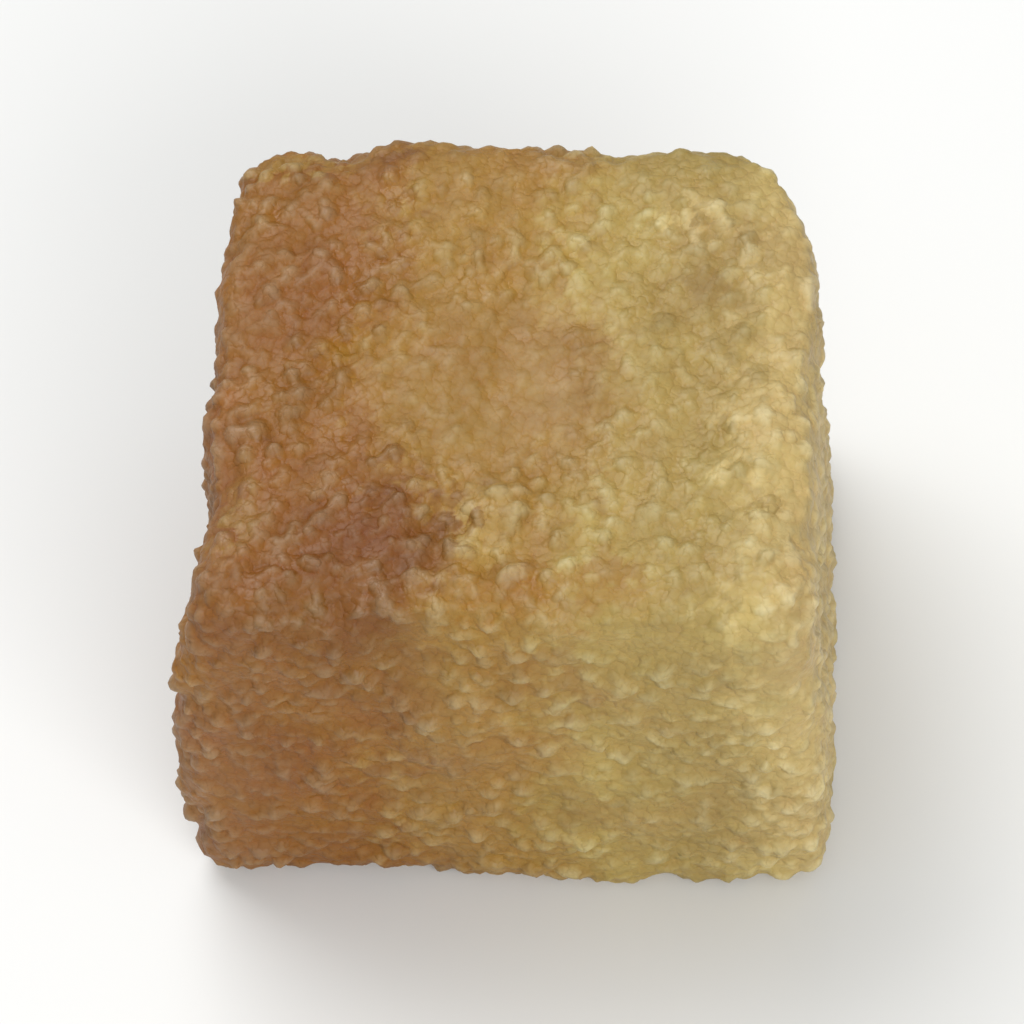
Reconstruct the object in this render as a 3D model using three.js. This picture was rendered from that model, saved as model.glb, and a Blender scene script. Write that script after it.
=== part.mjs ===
// One cut block of milk cake, a grainy sweet of cooked milk and sugar.
// Millimetres, +Z up. The front is -Y, and the browned side of the block is -X.
// The block rests on its flat base, and the middle of its base is the origin.
import * as THREE from "three";
import { ImprovedNoise } from "three/addons/math/ImprovedNoise.js";
import { mergeVertices } from "three/addons/utils/BufferGeometryUtils.js";

// Driving dimensions of the block as it was cut
const FRONT_WIDTH = 31.4;
const BACK_WIDTH = 30.0;
const DEPTH = 28.8;
const HEIGHT = 27.0;

// Wear of its edges and corners
const EDGE_REACH = 2.3;
const EDGE_TURN = 8.0;
const EDGE_WEAR = 0.55;
const CORNER_WEAR = 0.6;
const CHIP_SIZE = 3.4;
const CHIP_DEPTH = 0.85;
const CHIP_FROM = 0.45;
const CHIP_TO = 0.95;
const BACK_RIGHT_REACH = { x: 4.8, y: 10.0 };
const BACK_RIGHT_WEAR = { x: 1.35, y: 2.7 };
const BACK_RIGHT_WEAR_AT_BASE = 0.6;

// The lower front left corner spreads a little, from just under the top
const FOOT_FLARE = 1.8;
const FOOT_REACH = 6.0;
const FOOT_START = 2.0;
const FOOT_FULL = 8.0;

// Relief of the cut faces: wide swells, lumps of curd, and coarse grains
const SWELL_SIZE = 9.0;
const SWELL_RELIEF = 0.42;
const CURD_SIZE = 3.0;
const CURD_RELIEF = 0.6;
const GRAIN_SIZE = 1.8;
const GRAIN_RELIEF = 0.34;
const GRAIN_MEAN = 0.62;

// The base is flat, apart from shallow pits near its edge
const BASE_FLAT_MARGIN = 3.2;
const BASE_PIT_DEPTH = 0.5;

// Size of the mesh's facets, and how far they are shifted sideways so that they don't line up
const FACET = 1.03;
const FACET_JITTER = 0.24;

// Lumps and hollows that stand out, each with its place and reach from the middle of the block
const TOP = HEIGHT / 2;
const LUMPS = [
  { name: "pale clump on top", at: [-0.4, -8.0, TOP], reach: [2.0, 2.8, 2.0], height: 0.5 },
  { name: "hollow beside the clump", at: [-3.4, -8.8, TOP], reach: [1.6, 2.8, 1.8], height: -0.4 },
  { name: "pale lump near the back", at: [9.8, 10.1, TOP], reach: [1.9, 1.6, 1.6], height: 0.45 },
  { name: "pale lump near the right edge", at: [12.8, -2.6, TOP], reach: [2.2, 3.2, 1.8], height: 0.4 },
  { name: "bulge of the left edge", at: [-15.2, -1.6, 12.0], reach: [2.2, 2.4, 3.0], height: 0.35 },
  { name: "hollow of the left edge", at: [-15.2, -6.6, 10.0], reach: [2.6, 3.8, 9.0], height: -0.95 },
];

// The middle of the top was smeared smooth by the knife
const SMEAR = { at: [0.1, -1.0, TOP], reach: [6.6, 5.2, 3.0] };
const SMEARED_CURDS = 0.75;
const SMEARED_GRAINS = 0.9;

const half = new THREE.Vector3((FRONT_WIDTH + BACK_WIDTH) / 4, DEPTH / 2, HEIGHT / 2);
const perlin = new ImprovedNoise();
const { clamp, lerp, smoothstep } = THREE.MathUtils;

// A repeatable number from 0 to 1 for a cell of space
function draw(x, y, z, seed) {
  let h = Math.imul(x, 374761393) + Math.imul(y, 668265263);
  h = (h + Math.imul(z, 1440662683) + Math.imul(seed, 1274126177)) | 0;
  h = Math.imul(h ^ (h >>> 13), 1103515245);
  h = Math.imul(h ^ (h >>> 15), 2246822519);
  return ((h ^ (h >>> 16)) >>> 0) / 2 ** 32;
}

// Smooth relief from about -1 to 1, with swells about one size apart
function swell(p, size, seed) {
  const shift = 0.37 * seed;
  return 1.6 * perlin.noise(p.x / size + shift, p.y / size + 2 * shift, p.z / size + 3 * shift);
}

// Height from 0 to 1 of rounded grains packed side by side, about one size apart
function grains(p, size, seed) {
  const cell = p.clone().divideScalar(size).floor();
  const middle = new THREE.Vector3();
  let nearest = Infinity;
  for (let x = cell.x - 1; x <= cell.x + 1; x++) {
    for (let y = cell.y - 1; y <= cell.y + 1; y++) {
      for (let z = cell.z - 1; z <= cell.z + 1; z++) {
        middle.set(x + draw(x, y, z, seed), y + draw(x, y, z, seed + 1), z + draw(x, y, z, seed + 2));
        nearest = Math.min(nearest, middle.multiplyScalar(size).distanceToSquared(p));
      }
    }
  }
  return clamp(1 - nearest / (size * size), 0, 1);
}

// How much of a lump or patch reaches a point: 1 in its middle and 0 past its reach
function share(p, { at, reach }) {
  const away = Math.hypot((p.x - at[0]) / reach[0], (p.y - at[1]) / reach[1], (p.z - at[2]) / reach[2]);
  return 1 - smoothstep(away, 0.15, 1.15);
}

// The direction out of the box, which turns slowly from face to face round an edge
function outward(q) {
  const inner = half.clone().subScalar(EDGE_TURN);
  const core = q.clone().clamp(inner.clone().negate(), inner);
  return q.clone().sub(core).normalize();
}

// How near a point of the box is to an edge and to a corner: 1 on it and 0 past its reach
function nearness(q) {
  const gaps = [half.x - Math.abs(q.x), half.y - Math.abs(q.y), half.z - Math.abs(q.z)];
  gaps.sort((a, b) => a - b);
  const [edge, corner] = gaps.slice(1).map((gap) => Math.max(0, 1 - gap / EDGE_REACH) ** 2);
  return { edge, corner };
}

// How far the surface stands out from the plain box at one of its points
function relief(q) {
  const smeared = share(q, SMEAR);
  const { edge, corner } = nearness(q);
  const chip = smoothstep(0.5 + 0.5 * swell(q, CHIP_SIZE, 14), CHIP_FROM, CHIP_TO);
  let height = SWELL_RELIEF * swell(q, SWELL_SIZE, 1);
  height += CURD_RELIEF * (grains(q, CURD_SIZE, 41) - GRAIN_MEAN) * (1 - SMEARED_CURDS * smeared);
  height += GRAIN_RELIEF * (grains(q, GRAIN_SIZE, 48) - GRAIN_MEAN) * (1 - SMEARED_GRAINS * smeared);
  height -= (EDGE_WEAR + CHIP_DEPTH * chip) * edge + CORNER_WEAR * corner;
  for (const lump of LUMPS) height += lump.height * share(q, lump);
  return height;
}

// A small shift along the surface, none at the edges
function sideways(q, out, edge) {
  const shift = new THREE.Vector3(swell(q, FACET, 30), swell(q, FACET, 34), swell(q, FACET, 37));
  shift.addScaledVector(out, -shift.dot(out));
  return shift.multiplyScalar(FACET_JITTER * (1 - edge));
}

// The plan: narrower at the back, the back right corner worn round, and the foot spread
function shapePlan(p) {
  const width = lerp(FRONT_WIDTH, BACK_WIDTH, clamp(p.y / DEPTH + 0.5, 0, 1));
  p.x *= width / (2 * half.x);
  const intoX = Math.max(0, p.x - width / 2 + BACK_RIGHT_REACH.x) / BACK_RIGHT_REACH.x;
  const intoY = Math.max(0, p.y - half.y + BACK_RIGHT_REACH.y) / BACK_RIGHT_REACH.y;
  const up = clamp(p.z / HEIGHT + 0.5, 0, 1);
  const worn = Math.min(1, intoX * intoY) ** 2 * lerp(BACK_RIGHT_WEAR_AT_BASE, 1, up);
  p.x -= BACK_RIGHT_WEAR.x * worn;
  p.y -= BACK_RIGHT_WEAR.y * worn;
  const foot = share(p, { at: [-FRONT_WIDTH / 2, -half.y, p.z], reach: [FOOT_REACH, FOOT_REACH, 1] });
  p.x -= FOOT_FLARE * foot * smoothstep(half.z - p.z, FOOT_START, FOOT_FULL);
}

// Moves one point of the plain box to the block's surface
function placePoint(q) {
  const out = outward(q);
  const { edge } = nearness(q);
  const height = relief(q);
  const p = q.clone().add(sideways(q, out, edge));
  if (q.z <= -half.z && edge === 0) {
    const inside = Math.min(half.x - Math.abs(q.x), half.y - Math.abs(q.y));
    const pit = 1 - smoothstep(inside, EDGE_REACH, BASE_FLAT_MARGIN);
    p.z = -half.z + pit * BASE_PIT_DEPTH * Math.max(0, -height);
  } else {
    p.addScaledVector(out, height);
    p.z = Math.max(p.z, -half.z);
  }
  shapePlan(p);
  return p;
}

// Puts the middle of the base of the geometry's bounding box on the origin
function standOnOrigin(geometry) {
  geometry.computeBoundingBox();
  const { min, max } = geometry.boundingBox;
  geometry.translate(-(min.x + max.x) / 2, -(min.y + max.y) / 2, -min.z);
}

function makeBlock() {
  const size = half.clone().multiplyScalar(2);
  const steps = size.clone().divideScalar(FACET).round();
  const box = new THREE.BoxGeometry(size.x, size.y, size.z, steps.x, steps.y, steps.z);
  box.deleteAttribute("normal");
  box.deleteAttribute("uv");
  const geometry = mergeVertices(box, 1e-3);
  const position = geometry.getAttribute("position");
  const q = new THREE.Vector3();
  for (let i = 0; i < position.count; i++) {
    q.fromBufferAttribute(position, i);
    const p = placePoint(q);
    position.setXYZ(i, p.x, p.y, p.z);
  }
  standOnOrigin(geometry);
  geometry.computeVertexNormals();
  const curd = new THREE.MeshStandardMaterial({ color: 0xb08a52, roughness: 0.62, metalness: 0 });
  const block = new THREE.Mesh(geometry, curd);
  block.name = "milk_cake";
  return block;
}

const group = new THREE.Group();
group.add(makeBlock());

export default group;
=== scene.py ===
import math

import bmesh
import bpy
import numpy as np
from mathutils import Matrix, Vector


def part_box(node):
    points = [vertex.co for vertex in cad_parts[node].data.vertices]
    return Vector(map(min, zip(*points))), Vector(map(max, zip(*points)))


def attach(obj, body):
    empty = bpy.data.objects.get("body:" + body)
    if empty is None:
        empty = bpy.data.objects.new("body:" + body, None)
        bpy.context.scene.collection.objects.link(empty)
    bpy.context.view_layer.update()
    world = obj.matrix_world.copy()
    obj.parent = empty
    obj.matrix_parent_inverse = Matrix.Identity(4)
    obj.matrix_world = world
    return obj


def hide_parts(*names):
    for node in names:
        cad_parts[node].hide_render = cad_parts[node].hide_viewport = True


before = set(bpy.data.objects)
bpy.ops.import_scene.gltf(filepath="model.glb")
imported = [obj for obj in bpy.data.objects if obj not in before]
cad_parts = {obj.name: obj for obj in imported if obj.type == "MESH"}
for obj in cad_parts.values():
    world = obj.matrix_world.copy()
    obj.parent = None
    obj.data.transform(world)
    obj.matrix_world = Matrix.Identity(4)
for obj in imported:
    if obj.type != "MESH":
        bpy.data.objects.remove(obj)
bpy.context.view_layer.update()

MM = 0.001
BLOCK = "milk_cake"
LOW, HIGH = (np.array(corner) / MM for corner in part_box(BLOCK))

# The body's mesh: the side of its small faces, and the distance within which points count as touching
BODY_MESH = 0.226
TOUCHING = 0.001

# Packed curd grains that roughen the cut faces: how far apart they are, how far they stand out, the seed of
# their draws, and their share in the painted highlight that makes the surface paler on top of a grain
GRAIN_LAYERS = [
    {"size": 2.5, "height": 0.34, "seed": 3, "share": 0.1},
    {"size": 1.15, "height": 0.85, "seed": 13, "share": 1.1},
    {"size": 0.75, "height": 0.5, "seed": 23, "share": 0.7},
]

# The smallest grain's radius, and how much more the largest has, as shares of the grains' spacing
GRAIN_RADIUS = 0.36
GRAIN_RADIUS_SPREAD = 0.24

# The grains are pressed out of round, widely and then finely
GRAIN_BENDS = [
    {"size": 0.9, "reach": 0.15, "seed": 60},
    {"size": 0.45, "reach": 0.06, "seed": 64},
]

# In places the grains are fused: how much height they lose on average, how much that varies, and the most
FUSED = {"size": 3.4, "seed": 68}
FUSED_MEAN = 0.1
FUSED_SWING = 0.6
FUSED_MOST = 0.6

# The cream side is finer and smoother than the browned side
CREAM_FROM = 2.0
CREAM_TO = 10.0
CREAM_FINER = 0.25

# A grain's top gets a painted highlight, paler by its height, and some grains are paler or browner all over
TALL_GRAIN = 0.55
PALE_LEAST = 0.6
PALE_SPREAD = 0.6
TONE_SPREAD = 1.4
PLAIN_TONE = 0.5

# Shallow swells, and small pits darkened with painted shade
SWELL = {"size": 3.6, "seed": 71}
SWELL_HEIGHT = 0.12
PITS = {"size": 1.9, "seed": 81}
PIT_FROM = 0.55
PIT_DEPTH = 0.8
PIT_PAINTED_SHADE = 2.0

# An edge is where the surface slants away from the faces of a box. It is more crumbly there, and its grains
# are paler with a painted highlight
EDGE_SLANT = 0.94
EDGE_FADE = 0.2
EDGE_CRUMBLE = 0.2
EDGE_PAINTED_HIGHLIGHT = 0.5

# The smallest grains are rounded off, and the relief fades out above the flat base
ROUNDING = 0.4
BASE_FADE = 0.8
BASE_JOIN = 0.04

# The knife smeared the curd smooth in the middle of the top, with a ragged rim
SMEAR = {"at": (0.3, -0.6, 0.0), "reach": (9.2, 7.2, 3.0)}
SMEAR_RIM = {"size": 2.4, "reach": 1.3, "seed": 50}
SMEARED = 0.76
SMEAR_END = 1.15


def linear(hex_colour):
    """An sRGB hex colour as linear red, green, blue and alpha."""
    channels = [int(hex_colour[i : i + 2], 16) / 255 for i in (1, 3, 5)]
    return [c / 12.92 if c <= 0.04045 else ((c + 0.055) / 1.055) ** 2.4 for c in channels] + [1.0]


def draw(cells, seed):
    """A repeatable number from 0 to 1 for each cell of space."""
    x, y, z = np.moveaxis(cells.astype(np.int64), -1, 0)
    h = (x * 374761393 + y * 668265263 + z * 1440662683 + seed * 1274126177) & 0xFFFFFFFF
    h = ((h ^ (h >> 13)) * 1103515245) & 0xFFFFFFFF
    h = ((h ^ (h >> 15)) * 2246822519) & 0xFFFFFFFF
    return (h ^ (h >> 16)) / 2**32


def ease(part):
    """Makes a change from 0 to 1 start and end gently."""
    return part * part * (3 - 2 * part)


def swell(points, size, seed):
    """Smooth relief from -1 to 1 at each point, with swells about one size apart."""
    scaled = points / size
    cell = np.floor(scaled)
    part = ease(scaled - cell)
    total = np.zeros(len(points))
    for corner in np.ndindex(2, 2, 2):
        weight = np.prod(np.where(np.array(corner), part, 1 - part), axis=1)
        total += weight * draw(cell + corner, seed)
    return 2 * total - 1


def warp(points, size, reach, seed):
    """The points shifted by smooth swells, so that what is worked out from them isn't regular."""
    shifts = [swell(points, size, seed + axis) for axis in range(3)]
    return points + reach * np.stack(shifts, axis=1)


def packed_grains(points, size, seed):
    """Rounded grains packed about one size apart: each point's height on its grain, and the grain's tone."""
    scaled = points / size
    cell = np.floor(scaled)
    height = np.zeros(len(points))
    tone = np.full(len(points), PLAIN_TONE)
    for step in np.ndindex(3, 3, 3):
        there = cell + step - 1
        away = scaled - there - np.stack([draw(there, seed + axis) for axis in range(3)], axis=1)
        radius = GRAIN_RADIUS + GRAIN_RADIUS_SPREAD * draw(there, seed + 3)
        own = radius * np.clip(1 - np.sum(away**2, axis=1) / radius**2, 0, 1)
        higher = own > height
        height = np.where(higher, own, height)
        tone = np.where(higher, draw(there, seed + 4), tone)
    return height, tone


def smeared_share(points):
    """How much the knife smeared the curd at each point."""
    places = warp(points, **SMEAR_RIM) - (0, 0, HIGH[2]) - SMEAR["at"]
    away = np.linalg.norm(places / SMEAR["reach"], axis=1)
    return SMEARED * ease(np.clip(SMEAR_END - away, 0, 1))


def curd_relief(points, normals):
    """The relief of the curd at each point, how much painted highlight it gets as a grain top, with painted
    shade in its pits, and its grain's own tone.
    """
    edge = np.clip((EDGE_SLANT - np.abs(normals).max(axis=1)) / EDGE_FADE, 0, 1)
    bent = points
    for bend in GRAIN_BENDS:
        bent = warp(bent, **bend)
    apart = 1 - np.clip(FUSED_MEAN + FUSED_SWING * swell(points, **FUSED), 0, FUSED_MOST)
    apart *= 1 - CREAM_FINER * np.clip((points[:, 0] - CREAM_FROM) / (CREAM_TO - CREAM_FROM), 0, 1)
    relief = np.zeros(len(points))
    top = np.zeros(len(points))
    tone = np.full(len(points), PLAIN_TONE)
    for layer in GRAIN_LAYERS:
        height, own = packed_grains(bent, layer["size"], layer["seed"])
        relief += layer["height"] * height * apart
        # Painted highlight: grain tops paler by their height
        top += layer["share"] * height * apart * (PALE_LEAST + PALE_SPREAD * own) / TALL_GRAIN
        tone += layer["share"] * (own - PLAIN_TONE) * TONE_SPREAD
    pits = np.maximum(swell(bent, **PITS) - PIT_FROM, 0)
    relief = (relief - relief.mean()) * (1 + EDGE_CRUMBLE * edge)
    relief += SWELL_HEIGHT * swell(points, **SWELL)
    relief -= PIT_DEPTH * pits
    # Painted highlight on the edge grains, and painted shade in the pits
    top = np.clip(top * (1 + EDGE_PAINTED_HIGHLIGHT * edge) - PIT_PAINTED_SHADE * pits, 0, 1)
    return relief, top, tone


def new_piece(name, mesh):
    """A new object for a mesh, placed in the frame and riding on the block's body."""
    piece = bpy.data.objects.new(name, mesh)
    bpy.context.scene.collection.objects.link(piece)
    for polygon in mesh.polygons:
        polygon.use_smooth = True
    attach(piece, "root")
    return piece


def fine_copy_of_solid():
    """The block's faceted solid as a fine, even mesh with its facets rounded over."""
    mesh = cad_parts[BLOCK].data.copy()
    bm = bmesh.new()
    bm.from_mesh(mesh)
    bmesh.ops.remove_doubles(bm, verts=bm.verts, dist=TOUCHING * MM)
    bm.to_mesh(mesh)
    bm.free()
    draft = bpy.data.objects.new("draft", mesh)
    bpy.context.scene.collection.objects.link(draft)
    rounding = draft.modifiers.new("rounding", "SUBSURF")
    rounding.levels = rounding.render_levels = 1
    even = draft.modifiers.new("even mesh", "REMESH")
    even.mode = "VOXEL"
    even.voxel_size = BODY_MESH * MM
    graph = bpy.context.evaluated_depsgraph_get()
    fine = bpy.data.meshes.new_from_object(draft.evaluated_get(graph))
    bpy.data.objects.remove(draft)
    return fine


def read_points(mesh):
    """The mesh's vertices in millimetres, and their normals."""
    points = np.empty(3 * len(mesh.vertices))
    mesh.vertices.foreach_get("co", points)
    normals = np.empty(3 * len(mesh.vertices))
    mesh.vertex_normals.foreach_get("vector", normals)
    return points.reshape(-1, 3) / MM, normals.reshape(-1, 3)


def store(mesh, name, values):
    """Keeps one number for each vertex, which the material reads."""
    attribute = mesh.attributes.new(name, "FLOAT", "POINT")
    attribute.data.foreach_set("value", np.asarray(values, np.float32))


def round_off(mesh):
    """Rounds off the sharp points that the smallest grains leave, and keeps the flat base."""
    bm = bmesh.new()
    bm.from_mesh(mesh)
    verts = [v for v in bm.verts if v.co.z > BASE_JOIN * MM]
    bmesh.ops.smooth_vert(
        bm, verts=verts, factor=ROUNDING, use_axis_x=True, use_axis_y=True, use_axis_z=True
    )
    bm.to_mesh(mesh)
    bm.free()


def join_flat_base(mesh):
    """Joins the small faces of the flat base, which lies on the table, into large ones."""
    bm = bmesh.new()
    bm.from_mesh(mesh)
    verts = [v for v in bm.verts if v.co.z < TOUCHING * MM]
    flat = set(verts)
    edges = [e for e in bm.edges if e.verts[0] in flat and e.verts[1] in flat]
    bmesh.ops.dissolve_limit(bm, angle_limit=math.radians(1), verts=verts, edges=edges)
    bm.to_mesh(mesh)
    bm.free()


def make_body():
    """The block's own surface, roughened by packed grains of several sizes."""
    mesh = fine_copy_of_solid()
    points, normals = read_points(mesh)
    smeared = smeared_share(points)
    relief, top, tone = curd_relief(points, normals)
    relief *= 1 - smeared
    points += normals * relief[:, None] * np.clip(points[:, 2:] / BASE_FADE, 0, 1)
    points[points[:, 2] < BASE_JOIN, 2] = 0
    mesh.vertices.foreach_set("co", (points * MM).ravel())
    round_off(mesh)
    store(mesh, "grain_tone", tone * (1 - smeared) + PLAIN_TONE * smeared)
    # Painted light for the material: a highlight on grain tops and shade in the gaps and pits
    store(mesh, "grain_top_light_and_gap_shade", top * (1 - smeared) + top.mean() * smeared)
    store(mesh, "smeared", smeared)
    join_flat_base(mesh)
    body = new_piece("milk_cake_body", mesh)
    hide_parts(BLOCK)
    return body


def add_node(tree, kind, inputs=None, **settings):
    """Adds a node. Settings are its properties, and inputs are numbers or the sockets that feed it."""
    node = tree.nodes.new(kind)
    for name, value in settings.items():
        setattr(node, name, value)
    for name, value in (inputs or {}).items():
        if isinstance(value, bpy.types.NodeSocket):
            tree.links.new(value, node.inputs[name])
        else:
            node.inputs[name].default_value = value
    return node


def new_material(name):
    """An empty node material and its tree."""
    material = bpy.data.materials.new(name)
    material.use_nodes = True
    material.node_tree.nodes.clear()
    return material, material.node_tree


# Colours across the block, from its browned side to its cream side: share of the width, and colour
CURD_COLOURS = [
    (0.00, "#8a6032"),
    (0.18, "#82551a"),
    (0.29, "#84581b"),
    (0.38, "#916e32"),
    (0.55, "#957235"),
    (0.66, "#a1894c"),
    (0.83, "#9c864c"),
    (0.92, "#b19b62"),
    (1.00, "#b7a069"),
]

# Patches of other colours, one of them painted shade: where each one is from the middle of the top, its
# reach, colour and strength
CURD_PATCHES = [
    {"at": (-9.8, 8.8, -1), "reach": (5.4, 5.6, 12), "colour": "#845726", "strength": 0.6},
    {"at": (-5.8, -10.4, -1), "reach": (5.4, 6.0, 12), "colour": "#70410f", "strength": 0.8},
    {"at": (-9.0, -13.4, -1), "reach": (6.5, 2.6, 4), "colour": "#744a16", "strength": 0.6},
    {"at": (-4.8, 1.6, 0), "reach": (3.2, 4.6, 3), "colour": "#90692c", "strength": 0.7},
    {"at": (0.5, -0.8, 0), "reach": (7.4, 5.2, 4), "colour": "#8c692e", "strength": 0.65},
    {"at": (3.4, -6.8, 0), "reach": (2.6, 3.4, 3.0), "colour": "#8e692b", "strength": 0.4},
    {"at": (0.3, -8.2, 0), "reach": (2.2, 2.9, 2.0), "colour": "#a1854a", "strength": 0.7},
    {"at": (1.3, -12.1, 0), "reach": (2.8, 1.8, 3.0), "colour": "#8b5f20", "strength": 0.55},
    {"at": (5.9, -12.7, 0), "reach": (2.4, 1.8, 3.0), "colour": "#8b5f20", "strength": 0.5},
    {"at": (-14.2, -1.9, -1), "reach": (1.5, 1.8, 2.5), "colour": "#8c5a22", "strength": 0.5},
    {"at": (-16.0, -13.5, -6), "reach": (2.4, 2.4, 3.5), "colour": "#906020", "strength": 0.7},
    {"at": (-13.6, -8.1, 0), "reach": (1.6, 2.8, 2.0), "colour": "#907034", "strength": 0.75},
    {"at": (-10.4, 13.6, 0), "reach": (4.6, 1.3, 3.0), "colour": "#94743a", "strength": 0.7},
    {"at": (-5.9, 13.4, 0), "reach": (1.3, 1.0, 2.0), "colour": "#6e471e", "strength": 0.7},
    # Painted shade: the back right edge darker and more olive where it rounds away from the light
    {"at": (9.6, 13.8, 0), "reach": (5.6, 1.6, 5.0), "colour": "#8c763d", "strength": 0.6},
    {"at": (10.5, 10.1, 0), "reach": (2.0, 1.7, 1.8), "colour": "#bca66d", "strength": 0.75},
    {"at": (13.8, -2.4, 0), "reach": (2.2, 3.8, 2.2), "colour": "#bba36b", "strength": 0.6},
    {"at": (8.8, 4.4, 0), "reach": (2.0, 2.2, 1.8), "colour": "#8a7238", "strength": 0.75},
    {"at": (11.1, -3.5, 0), "reach": (1.3, 2.2, 1.5), "colour": "#8c753c", "strength": 0.6},
    {"at": (14.0, -8.0, 0), "reach": (0.9, 0.8, 1.2), "colour": "#867038", "strength": 0.6},
    {"at": (3.6, -14.6, -19), "reach": (3.4, 2.0, 4.0), "colour": "#86713a", "strength": 0.35},
]

# A patch is at its full strength inside the second share of its reach, and ends at the first
PATCH_END = 1.25
PATCH_FULL = 0.35

# Two noises, one broad and one that mottles, vary the colours: their sizes, and what they mostly lie between
BROAD_SIZE = 6.0
MOTTLE_SIZE = 2.2
NOISE_SPAN = (0.3, 0.7)

# What the tone of a grain and the height on it lie between
GRAIN_SPAN = (0.0, 1.0)

# Colours meet in ragged lines: how far broad noise bends the lines, and how far a grain's tone shifts them
RAGGED_REACH = 5.4
GRAIN_JUMP = 0.9

# How light the curd is by each noise, by its grain's tone and by its height on the grain, as factors. By the
# height it is painted shade in the gaps and a painted highlight on the grain tops
MOTTLE_LIGHT = (0.95, 1.05)
BROAD_LIGHT = (0.93, 1.07)
TONE_LIGHT = (0.95, 1.05)
PAINTED_SHADE_TO_HIGHLIGHT = (0.93, 1.12)

# Low broad noise turns the hue to red. Along with the painted highlight on top and the painted shade in the
# gaps, a grain is yellower and less strong on top than in the gaps beside it
HUE = (0.49, 0.502)
HUE_ON_TOP = 0.012
SATURATION = (1.06, 0.84)

# The finest grains, and the grit on them, are too small for the mesh. The material makes them by bump, and
# paints a highlight on their tops
FINE_GRAIN_SIZE = 0.5
FINE_GRAIN_BEND = 0.3
FINE_GRAIN_HEIGHT = 0.22
FINE_GRAIN_TONE = 0.3
FINE_GRAIN_PAINTED_HIGHLIGHT = 0.6
GRIT_SIZE = 0.3
GRIT_HEIGHT = 0.25
BUMP_DEPTH = 0.22

# Bump's strength on plain curd and on smeared curd, and roughness from dry places to moist ones
BUMP = (0.54, 0.2)
ROUGHNESS = (0.64, 0.46)


def ragged_places(tree, place, broad, tone):
    """The places shifted by broad noise and grain by grain, so that colours meet in ragged, mottled lines."""
    shift = add_node(
        tree, "ShaderNodeVectorMath", {0: broad, 1: (0.5, 0.5, 0.5)}, operation="SUBTRACT"
    ).outputs[0]
    bent = add_node(
        tree,
        "ShaderNodeVectorMath",
        {0: shift, 1: (RAGGED_REACH,) * 3, 2: place},
        operation="MULTIPLY_ADD",
    ).outputs[0]
    jump = add_node(
        tree, "ShaderNodeMapRange", {"Value": tone, "To Min": -GRAIN_JUMP, "To Max": GRAIN_JUMP}
    ).outputs[0]
    return add_node(tree, "ShaderNodeVectorMath", {0: bent, 1: jump}, operation="ADD").outputs[0]


def curd_colour(tree, bent):
    """The curd's colour from the browned side to the cream side, with its patches."""
    across = add_node(tree, "ShaderNodeSeparateXYZ", {0: bent}).outputs["X"]
    share = add_node(
        tree, "ShaderNodeMapRange", {"Value": across, "From Min": float(LOW[0]), "From Max": float(HIGH[0])}
    )
    ramp = add_node(tree, "ShaderNodeValToRGB", {"Fac": share.outputs[0]})
    while len(ramp.color_ramp.elements) < len(CURD_COLOURS):
        ramp.color_ramp.elements.new(1.0)
    for element, (position, colour) in zip(ramp.color_ramp.elements, CURD_COLOURS):
        element.position = position
        element.color = linear(colour)
    colour = ramp.outputs["Color"]
    for patch in CURD_PATCHES:
        middle = (patch["at"][0], patch["at"][1], patch["at"][2] + float(HIGH[2]))
        scale = [1 / reach for reach in patch["reach"]]
        shift = [-place * factor for place, factor in zip(middle, scale)]
        away = add_node(
            tree, "ShaderNodeVectorMath", {0: bent, 1: scale, 2: shift}, operation="MULTIPLY_ADD"
        ).outputs[0]
        away = add_node(tree, "ShaderNodeVectorMath", {0: away}, operation="LENGTH").outputs["Value"]
        reach = add_node(
            tree,
            "ShaderNodeMapRange",
            {"Value": away, "From Min": PATCH_END, "From Max": PATCH_FULL, "To Max": patch["strength"]},
            interpolation_type="SMOOTHSTEP",
        )
        # Inputs 6 and 7 and output 2 are the ones for colours
        colour = add_node(
            tree,
            "ShaderNodeMix",
            {0: reach.outputs[0], 6: colour, 7: linear(patch["colour"])},
            data_type="RGBA",
        ).outputs[2]
    return colour


def grain_tints_and_painted_light(tree, broad, mottle, tone, height, colour):
    """Each grain a little paler or browner than the next, with a painted highlight that makes it paler on top
    and painted shade that deepens its colour in the gaps.
    """
    spans = [
        (mottle, NOISE_SPAN, MOTTLE_LIGHT),
        (broad, NOISE_SPAN, BROAD_LIGHT),
        (tone, GRAIN_SPAN, TONE_LIGHT),
        # By the height: painted shade in the gaps and a painted highlight on grain tops
        (height, GRAIN_SPAN, PAINTED_SHADE_TO_HIGHLIGHT),
        (height, GRAIN_SPAN, SATURATION),
        (broad, NOISE_SPAN, HUE),
    ]
    *lights, strength, hue = [
        add_node(
            tree,
            "ShaderNodeMapRange",
            {"Value": value, "From Min": low, "From Max": high, "To Min": least, "To Max": most},
        ).outputs[0]
        for value, (low, high), (least, most) in spans
    ]
    light = lights[0]
    for factor in lights[1:]:
        light = add_node(tree, "ShaderNodeMath", {0: light, 1: factor}, operation="MULTIPLY").outputs[0]
    hue = add_node(
        tree, "ShaderNodeMath", {0: height, 1: HUE_ON_TOP, 2: hue}, operation="MULTIPLY_ADD"
    ).outputs[0]
    return add_node(
        tree,
        "ShaderNodeHueSaturation",
        {"Color": colour, "Hue": hue, "Value": light, "Saturation": strength},
    ).outputs[0]


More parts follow.
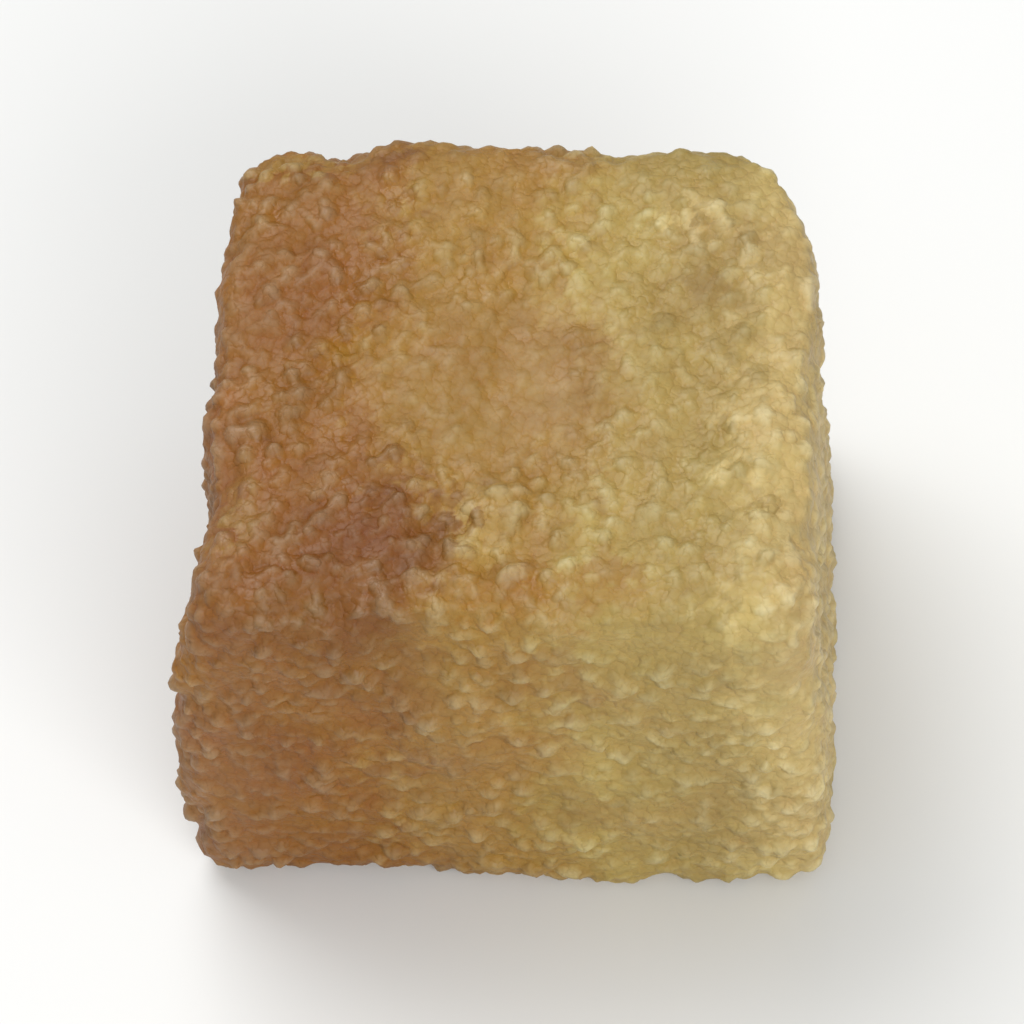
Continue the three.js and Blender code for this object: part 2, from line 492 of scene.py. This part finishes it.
def fine_grains(tree, place):
    """The finest grains at each place: the grit on them, how high they are, and each one's own tone."""
    grit = add_node(tree, "ShaderNodeTexNoise", {"Vector": place, "Scale": 1 / GRIT_SIZE, "Detail": 0.0})
    bent = add_node(
        tree,
        "ShaderNodeVectorMath",
        {0: grit.outputs["Color"], 1: (FINE_GRAIN_BEND,) * 3, 2: place},
        operation="MULTIPLY_ADD",
    ).outputs[0]
    grain = add_node(tree, "ShaderNodeTexVoronoi", {"Vector": bent, "Scale": 1 / FINE_GRAIN_SIZE})
    away = grain.outputs["Distance"]
    dome = add_node(tree, "ShaderNodeMath", {0: away, 1: away}, operation="MULTIPLY").outputs[0]
    height = add_node(
        tree, "ShaderNodeMath", {0: FINE_GRAIN_HEIGHT, 1: dome}, operation="SUBTRACT"
    ).outputs[0]
    own = add_node(tree, "ShaderNodeSeparateXYZ", {0: grain.outputs["Color"]}).outputs["X"]
    return grit.outputs["Fac"], height, own


def curd_material():
    """Khoa, milk cooked down to soft grains with sugar and clarified butter."""
    # It is moist, waxy and slightly translucent, with a satin gloss that comes and goes
    material, tree = new_material("cooked milk curd")
    place = add_node(tree, "ShaderNodeTexCoord").outputs["Object"]
    place = add_node(
        tree, "ShaderNodeVectorMath", {0: place, "Scale": 1 / MM}, operation="SCALE"
    ).outputs[0]
    tone, height, smeared = [
        add_node(tree, "ShaderNodeAttribute", attribute_name=name).outputs["Fac"]
        for name in ("grain_tone", "grain_top_light_and_gap_shade", "smeared")
    ]
    grit, fine_height, own = fine_grains(tree, place)
    tone = add_node(
        tree, "ShaderNodeMath", {0: own, 1: FINE_GRAIN_TONE, 2: tone}, operation="MULTIPLY_ADD"
    ).outputs[0]
    tone = add_node(
        tree, "ShaderNodeMath", {0: tone, 1: FINE_GRAIN_TONE / 2}, operation="SUBTRACT"
    ).outputs[0]
    # Painted highlight on the tops of the finest grains
    height = add_node(
        tree, "ShaderNodeMath", {0: fine_height, 1: FINE_GRAIN_PAINTED_HIGHLIGHT, 2: height}, operation="MULTIPLY_ADD"
    ).outputs[0]
    broad = add_node(
        tree,
        "ShaderNodeTexNoise",
        {"Vector": place, "Scale": 1 / BROAD_SIZE, "Detail": 3.0, "Roughness": 0.6},
    )
    mottle = add_node(
        tree, "ShaderNodeTexNoise", {"Vector": place, "Scale": 1 / MOTTLE_SIZE, "Detail": 2.0}
    ).outputs["Fac"]
    colour = curd_colour(tree, ragged_places(tree, place, broad.outputs["Color"], tone))
    # Painted highlight on grain tops and painted shade in the gaps
    colour = grain_tints_and_painted_light(tree, broad.outputs["Fac"], mottle, tone, height, colour)
    low, high = NOISE_SPAN
    dry, moist = ROUGHNESS
    roughness = add_node(
        tree,
        "ShaderNodeMapRange",
        {"Value": mottle, "From Min": low, "From Max": high, "To Min": dry, "To Max": moist},
    )
    relief = add_node(
        tree, "ShaderNodeMath", {0: grit, 1: GRIT_HEIGHT, 2: fine_height}, operation="MULTIPLY_ADD"
    )
    keenness = add_node(
        tree, "ShaderNodeMapRange", {"Value": smeared, "To Min": BUMP[0], "To Max": BUMP[1]}
    )
    bump = add_node(
        tree,
        "ShaderNodeBump",
        {"Height": relief.outputs[0], "Strength": keenness.outputs[0], "Distance": BUMP_DEPTH * MM},
    )
    curd = add_node(
        tree,
        "ShaderNodeBsdfPrincipled",
        {
            "Base Color": colour,
            "Roughness": roughness.outputs[0],
            "Normal": bump.outputs["Normal"],
            "IOR": 1.45,
            "Specular IOR Level": 0.5,
            "Subsurface Weight": 0.2,
            "Subsurface Radius": (1.0, 0.65, 0.35),
            "Subsurface Scale": 0.35 * MM,
            "Coat Weight": 0.06,
            "Coat Roughness": 0.2,
        },
        subsurface_method="BURLEY",
    )
    add_node(tree, "ShaderNodeOutputMaterial", {"Surface": curd.outputs[0]})
    return material


def table_material():
    """A plain pale laminate table, pressed smooth, with a dull satin surface."""
    material, tree = new_material("pale laminate")
    laminate = add_node(
        tree, "ShaderNodeBsdfPrincipled", {"Base Color": linear("#dfdfdd"), "Roughness": 0.6}
    )
    add_node(tree, "ShaderNodeOutputMaterial", {"Surface": laminate.outputs[0]})
    return material


# The camera stands where the photograph was taken from, and its field is fitted to the one block. Angles are
# in degrees
CAMERA_AZIMUTH = 8.0
CAMERA_ELEVATION = 58.0
CAMERA_DISTANCE = 568.0
CAMERA_ROLL = 6.2
CAMERA_FIELD = 53.0
CAMERA_NEAR = 10.0
SENSOR = 36.0


def add_camera():
    """The camera, aimed at the middle of the block and rolled as the photograph is."""
    azimuth, elevation = math.radians(CAMERA_AZIMUTH), math.radians(CAMERA_ELEVATION)
    back = Vector(
        (
            math.sin(azimuth) * math.cos(elevation),
            -math.cos(azimuth) * math.cos(elevation),
            math.sin(elevation),
        )
    )
    lens = bpy.data.cameras.new("camera")
    lens.sensor_width = SENSOR
    lens.lens = SENSOR * CAMERA_DISTANCE / CAMERA_FIELD
    lens.clip_start = CAMERA_NEAR * MM
    camera = bpy.data.objects.new("camera", lens)
    middle = Vector((0, 0, float(HIGH[2]) / 2 * MM))
    roll = Matrix.Rotation(math.radians(-CAMERA_ROLL), 3, "Z")
    turn = (-back).to_track_quat("-Z", "Y").to_matrix() @ roll
    camera.matrix_world = Matrix.Translation(middle + back * CAMERA_DISTANCE * MM) @ turn.to_4x4()
    bpy.context.scene.collection.objects.link(camera)
    bpy.context.scene.camera = camera


# Soft boxes of the studio: where each stands and its side, in metres, and its power in watts
SOFT_BOXES = [
    {"name": "overhead_soft_box", "at": (-0.16, 0.20, 0.46), "side": 0.34, "power": 1.85},
    {"name": "front_soft_box", "at": (0.22, -0.46, 0.36), "side": 0.42, "power": 2.5},
]
LIGHTS_AIM = (0, 0, 0.013)

# The pale even surrounding, and how strongly it lights the block
WORLD_COLOUR = "#f4f6f8"
WORLD_LIGHT = 0.55

# The table's radius in metres, and the number of sides of its round top
TABLE_RADIUS = 3.0
TABLE_SIDES = 96


def add_lights():
    """Soft boxes aimed at the block, and a pale even surrounding."""
    for box in SOFT_BOXES:
        light = bpy.data.lights.new(box["name"], "AREA")
        light.size = box["side"]
        light.energy = box["power"]
        lamp = bpy.data.objects.new(box["name"], light)
        aim = Vector(LIGHTS_AIM) - Vector(box["at"])
        turn = aim.to_track_quat("-Z", "Y").to_matrix()
        lamp.matrix_world = Matrix.Translation(box["at"]) @ turn.to_4x4()
        bpy.context.scene.collection.objects.link(lamp)
    world = bpy.data.worlds.new("pale surrounding")
    world.use_nodes = True
    background = world.node_tree.nodes["Background"]
    background.inputs["Color"].default_value = linear(WORLD_COLOUR)
    background.inputs["Strength"].default_value = WORLD_LIGHT
    bpy.context.scene.world = world


def add_table():
    """A wide pale table under the block."""
    bm = bmesh.new()
    bmesh.ops.create_circle(bm, cap_ends=True, segments=TABLE_SIDES, radius=TABLE_RADIUS)
    mesh = bpy.data.meshes.new("table")
    bm.to_mesh(mesh)
    bm.free()
    mesh.materials.append(table_material())
    table = bpy.data.objects.new("table", mesh)
    bpy.context.scene.collection.objects.link(table)


add_camera()
curd = curd_material()
block = make_body()
block.data.materials.clear()
block.data.materials.append(curd)
add_table()
add_lights()
bpy.context.scene.view_settings.view_transform = "Standard"
